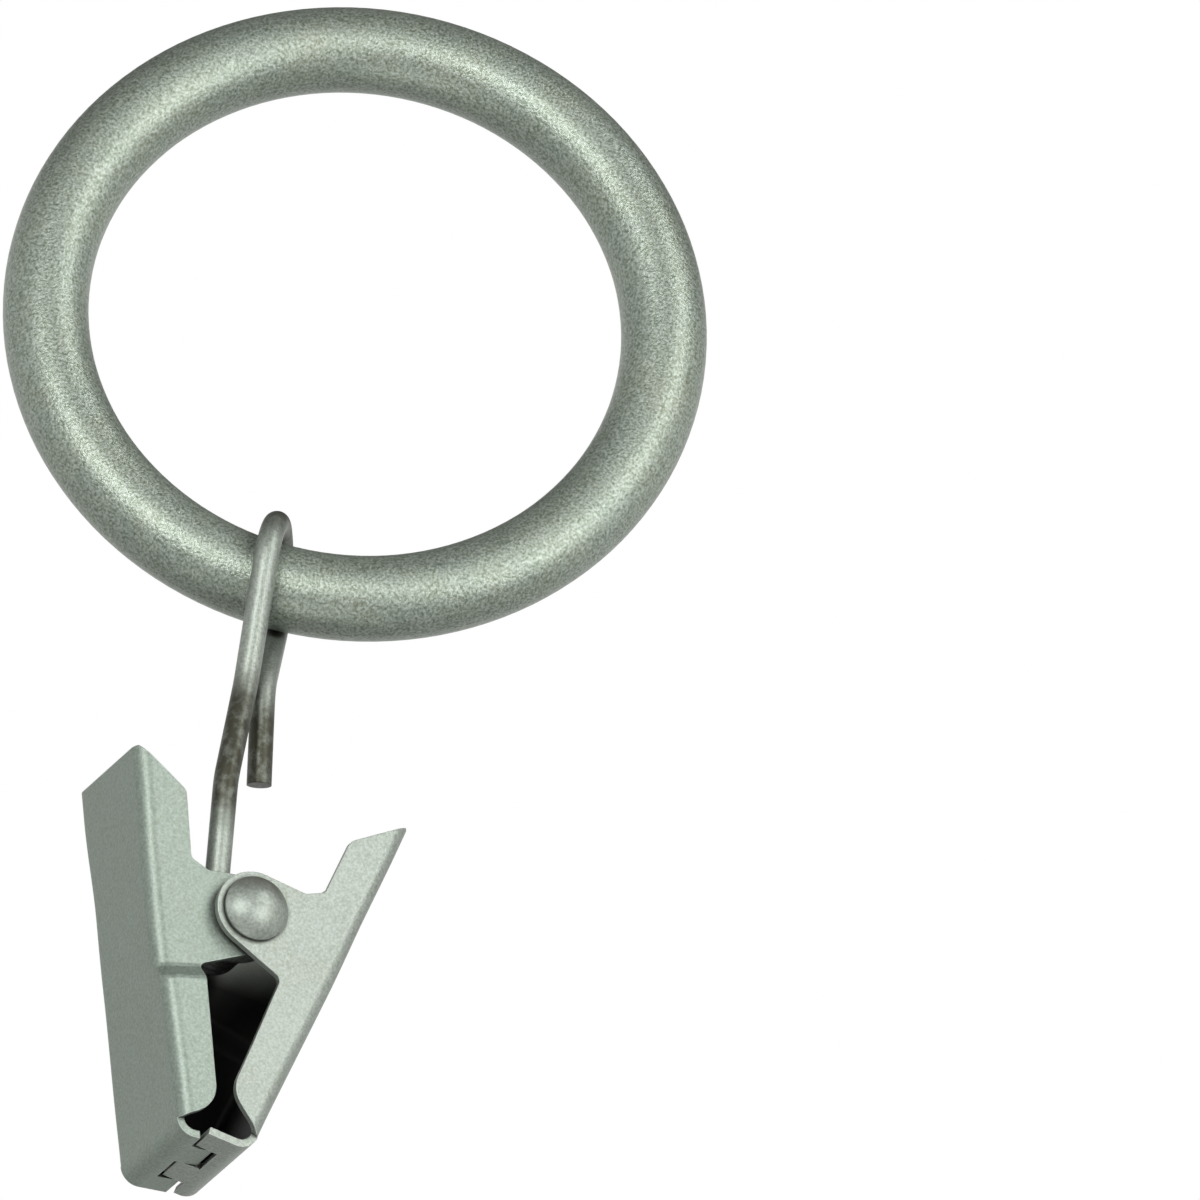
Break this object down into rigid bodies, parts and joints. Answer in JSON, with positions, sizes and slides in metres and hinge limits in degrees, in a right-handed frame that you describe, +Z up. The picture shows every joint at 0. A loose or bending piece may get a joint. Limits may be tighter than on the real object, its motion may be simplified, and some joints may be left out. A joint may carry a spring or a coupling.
{
  "type": "curtain ring with clip",
  "caption": "Satin metal curtain ring for a rod, with a wire hook hung on it and a sprung pressed-steel clip below that grips the top edge of a curtain.",
  "frame": {"origin": "centre of the ring, on the line of the curtain rod", "axes": "+Y along the rod through the ring, +Z up, +X to the right for someone who looks along +Y"},
  "size_m": [0.0422, 0.0131, 0.078],
  "materials": {
    "ring_metal": "satin plated",
    "hook_wire": "satin plated",
    "rivet_metal": "satin plated",
    "spring_wire": "plain drawn wire",
    "jaw_steel": "satin plated"
  },
  "bodies": {
    "ring": {"ring": "ring_metal"},
    "hook": {"wire_hook": "hook_wire"},
    "clip_pivot": {"pivot_rivet": "rivet_metal", "torsion_spring": "spring_wire"},
    "left_jaw": {"left_jaw": "jaw_steel"},
    "right_jaw": {"right_jaw": "jaw_steel"}
  },
  "joints": [
    {"name": "hook_swing", "type": "hinge", "parent": "ring", "child": "hook", "pos_m": [-0.00194, 0, -0.01847], "axis": [0.9945, 0, -0.1045], "range_deg": [-120, 120]},
    {"name": "clip_sway", "type": "hinge", "parent": "hook", "child": "clip_pivot", "pos_m": [-0.00041, 0.00148, -0.04155], "axis": [-0.3121, 0.9491, 0.0419], "range_deg": [-18, 12]},
    {"name": "left_jaw_open", "type": "hinge", "parent": "clip_pivot", "child": "left_jaw", "pos_m": [-0.00041, 0.00148, -0.04155], "axis": [-0.3121, 0.9491, 0.0419], "range_deg": [0, 18], "stiffness_Nm_per_rad": 0.03, "springref_deg": -51.57, "deforming": ["torsion_spring"]},
    {"name": "right_jaw_open", "type": "hinge", "parent": "clip_pivot", "child": "right_jaw", "pos_m": [-0.00041, 0.00148, -0.04155], "axis": [0.3121, -0.9491, -0.0419], "range_deg": [0, 18], "stiffness_Nm_per_rad": 0.03, "springref_deg": -51.57}
  ],
  "couplings": [
    {"joint": "right_jaw_open", "follows": "left_jaw_open", "ratio": 1}
  ]
}
